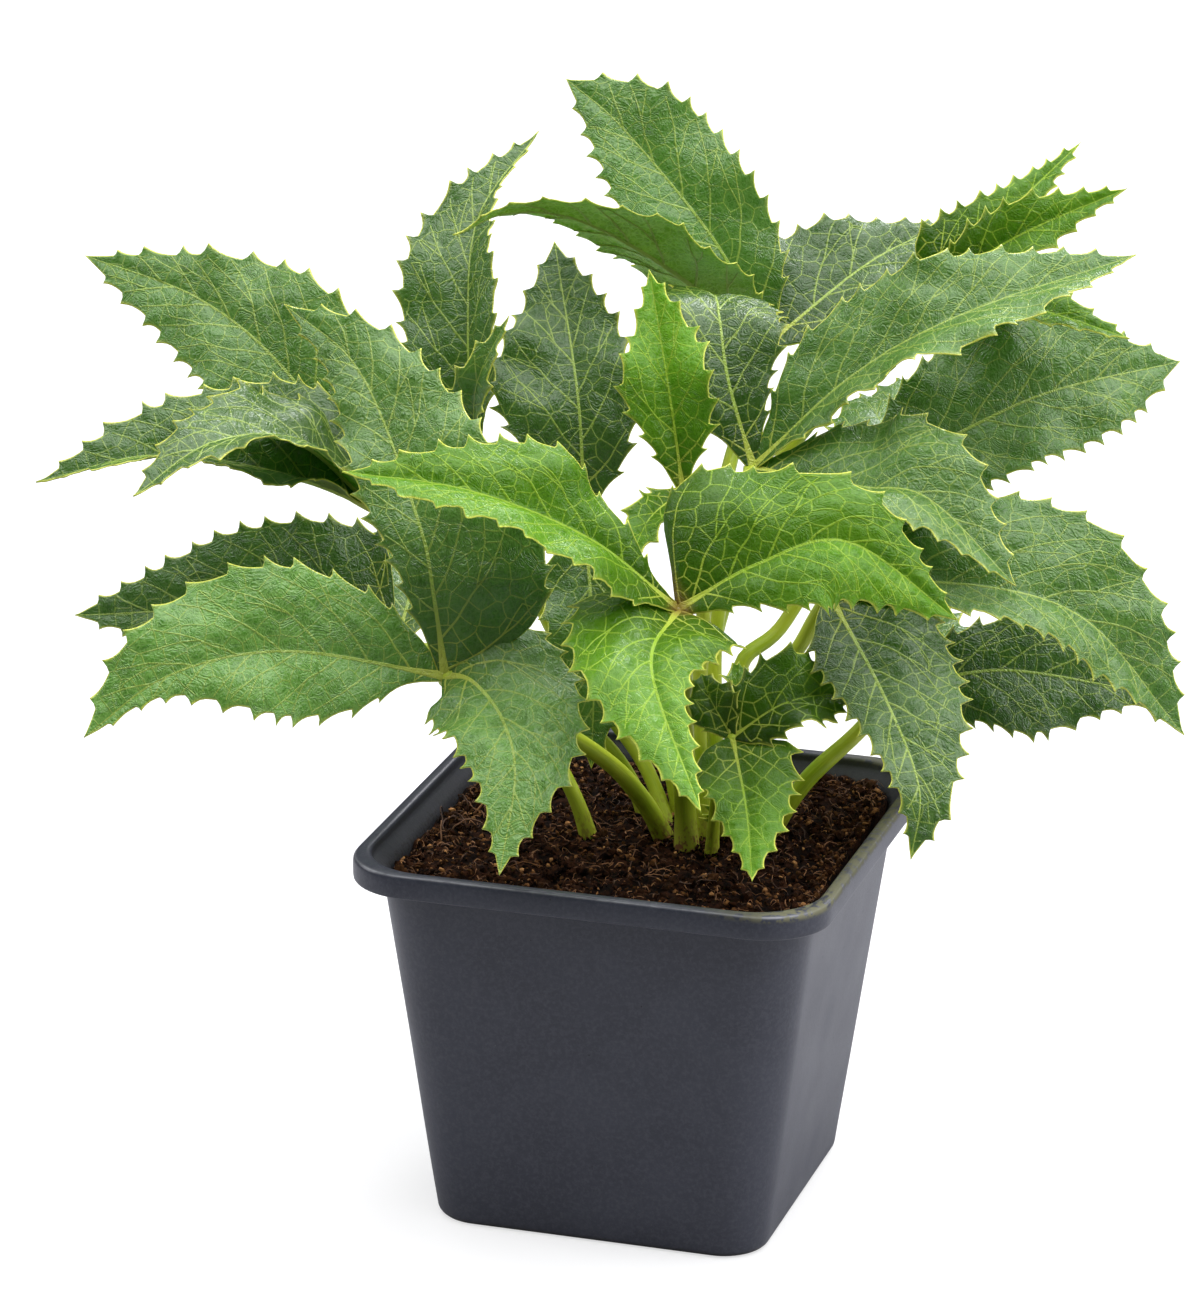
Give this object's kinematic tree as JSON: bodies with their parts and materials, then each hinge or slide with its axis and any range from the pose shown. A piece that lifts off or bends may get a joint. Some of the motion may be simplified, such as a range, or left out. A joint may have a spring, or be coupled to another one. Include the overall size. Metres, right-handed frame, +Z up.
{
  "type": "potted hellebore plant",
  "caption": "Leafy hellebore with toothed, veined leaflets on round stalks, standing in the soil of a square nursery pot.",
  "frame": {"origin": "middle of the pot's flat underside", "axes": "+Z up, -Y out of the pot's front face, +X to the right of that face"},
  "size_m": [0.3043, 0.2464, 0.2836],
  "materials": {
    "pot_plastic": "semi-matte, dark slate",
    "peat": "loose and rough, with bark fibres",
    "mature_leaf": "waxy, grey-green, netted veins",
    "young_leaf": "waxy, bright green, netted veins"
  },
  "bodies": {
    "root": {"pot": "pot_plastic", "soil": "peat", "leaf_left_low": "mature_leaf", "leaf_front": "young_leaf", "leaf_middle_young": "young_leaf", "leaf_middle_back": "mature_leaf", "leaf_back_tall": "mature_leaf", "leaf_left_high": "mature_leaf", "leaf_left_back": "mature_leaf", "leaf_top": "mature_leaf", "leaf_right_high": "mature_leaf", "leaf_right_young": "young_leaf", "leaf_right_middle": "mature_leaf", "leaf_front_right": "mature_leaf", "leaf_right_low": "mature_leaf", "leaf_low_small": "young_leaf", "leaf_shoot": "young_leaf"}
  },
  "joints": []
}
